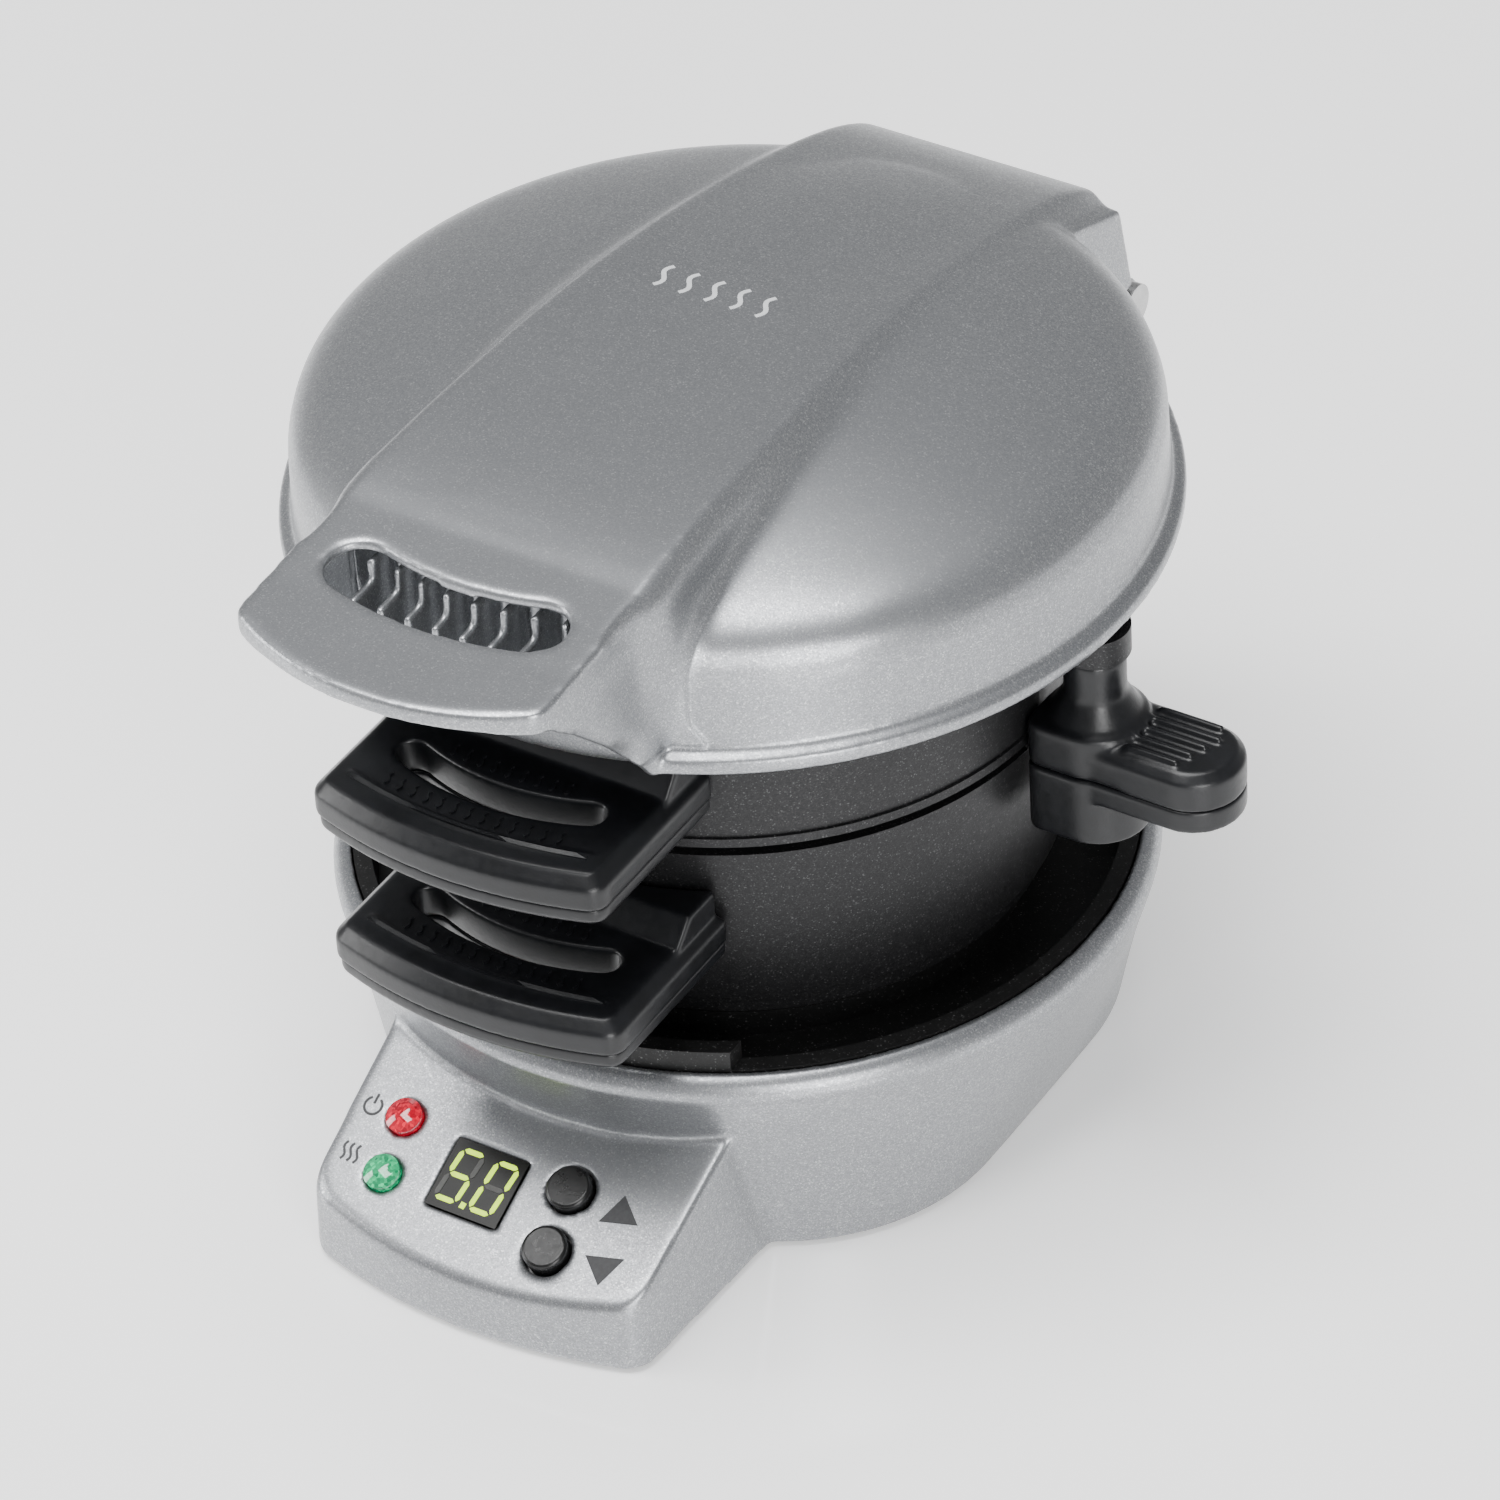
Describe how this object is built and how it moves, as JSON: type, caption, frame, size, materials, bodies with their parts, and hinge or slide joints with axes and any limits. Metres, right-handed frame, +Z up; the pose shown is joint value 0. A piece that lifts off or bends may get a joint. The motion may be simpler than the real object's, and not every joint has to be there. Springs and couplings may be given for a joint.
{
  "type": "breakfast sandwich maker",
  "caption": "Round breakfast sandwich maker with domed lid, two stacked lifting rings, swing-out cooking plate and timer panel.",
  "frame": {"origin": "on the table, under the centre of the round base tub, in the plane of the four feet", "axes": "+Z up, front with the control panel towards -Y, cooking plate's handle towards +X"},
  "size_m": [0.1804, 0.2109, 0.1573],
  "materials": {
    "silver_shell": "satin silver with fine metallic fleck",
    "nonstick": "dark grey non-stick coating with fine sparkle, on cast aluminium",
    "black_liner": "black heat-proof coating with fine sparkle",
    "black_phenolic": "moulded black phenolic, semi-matt",
    "black_plastic": "black moulded plastic",
    "rubber": "matt black rubber",
    "button_black": "black moulded button",
    "steel": "plain steel",
    "screw_steel": "zinc-plated steel",
    "element_steel": "dull heater sheath",
    "red_lens": "clear red plastic",
    "green_lens": "clear green plastic",
    "dark_window": "smoked window",
    "electronics_black": "black component bodies",
    "fuse_metal": "bright",
    "led_clear": "clear",
    "circuit_board": "green solder mask"
  },
  "bodies": {
    "base": {"base_housing": "silver_shell", "well_liner": "black_liner", "lower_heating_plate": "nonstick", "lower_heating_element": "element_steel", "lower_heat_shield": "steel", "lower_thermostat": "electronics_black", "lower_thermal_fuse": "fuse_metal", "bottom_cover": "black_plastic", "rubber_feet": "rubber", "base_screws": "screw_steel", "power_lens": "red_lens", "preheat_lens": "green_lens", "indicator_leds": "led_clear", "display_window": "dark_window", "display_module": "electronics_black", "control_board": "circuit_board", "control_board_screws": "screw_steel", "tact_switches": "electronics_black", "power_board": "circuit_board", "power_board_screws": "screw_steel", "relay": "electronics_black", "supply_capacitor": "electronics_black", "buzzer": "electronics_black", "cord_gland": "black_plastic", "hinge_tower": "silver_shell", "hinge_tower_screws": "screw_steel", "hinge_pin": "steel", "hinge_pin_caps": "steel"},
    "up_button": {"up_button": "button_black"},
    "down_button": {"down_button": "button_black"},
    "lower_leaf": {"lower_ring": "nonstick", "lower_handle_top": "black_phenolic", "lower_handle_bottom": "black_phenolic", "lower_handle_screws": "screw_steel"},
    "upper_leaf": {"upper_ring": "nonstick", "upper_handle_top": "black_phenolic", "upper_handle_bottom": "black_phenolic", "upper_handle_screws": "screw_steel", "plate_pivot_pin": "steel", "plate_pivot_clip": "steel"},
    "swing_plate": {"cooking_plate": "nonstick", "plate_handle_top": "black_phenolic", "plate_handle_bottom": "black_phenolic", "plate_handle_screws": "screw_steel"},
    "lid": {"lid_cover": "silver_shell", "lid_liner": "black_liner", "upper_heating_plate": "nonstick", "upper_heating_element": "element_steel", "upper_thermostat": "electronics_black", "upper_thermal_fuse": "fuse_metal", "lid_hinge_arms": "steel", "lid_screws": "screw_steel", "hinge_arm_screws": "screw_steel"}
  },
  "joints": [
    {"name": "lower_ring_lift", "type": "hinge", "parent": "base", "child": "lower_leaf", "pos_m": [0, 0.094, 0.109], "axis": [-1, 0, 0], "range_deg": [0, 30]},
    {"name": "upper_ring_lift", "type": "hinge", "parent": "lower_leaf", "child": "upper_leaf", "pos_m": [0, 0.094, 0.109], "axis": [-1, 0, 0], "range_deg": [0, 40]},
    {"name": "lid_lift", "type": "hinge", "parent": "upper_leaf", "child": "lid", "pos_m": [0, 0.094, 0.109], "axis": [-1, 0, 0], "range_deg": [0, 95]},
    {"name": "plate_swing", "type": "hinge", "parent": "upper_leaf", "child": "swing_plate", "pos_m": [0.072, 0.0037, 0.0845], "axis": [0, 0, 1], "range_deg": [0, 88]},
    {"name": "up_press", "type": "slide", "parent": "base", "child": "up_button", "axis": [0, 0.4384, -0.8988], "range_m": [0, 0.0012], "stiffness_N_per_m": 400},
    {"name": "down_press", "type": "slide", "parent": "base", "child": "down_button", "axis": [0, 0.4384, -0.8988], "range_m": [0, 0.0012], "stiffness_N_per_m": 400}
  ]
}
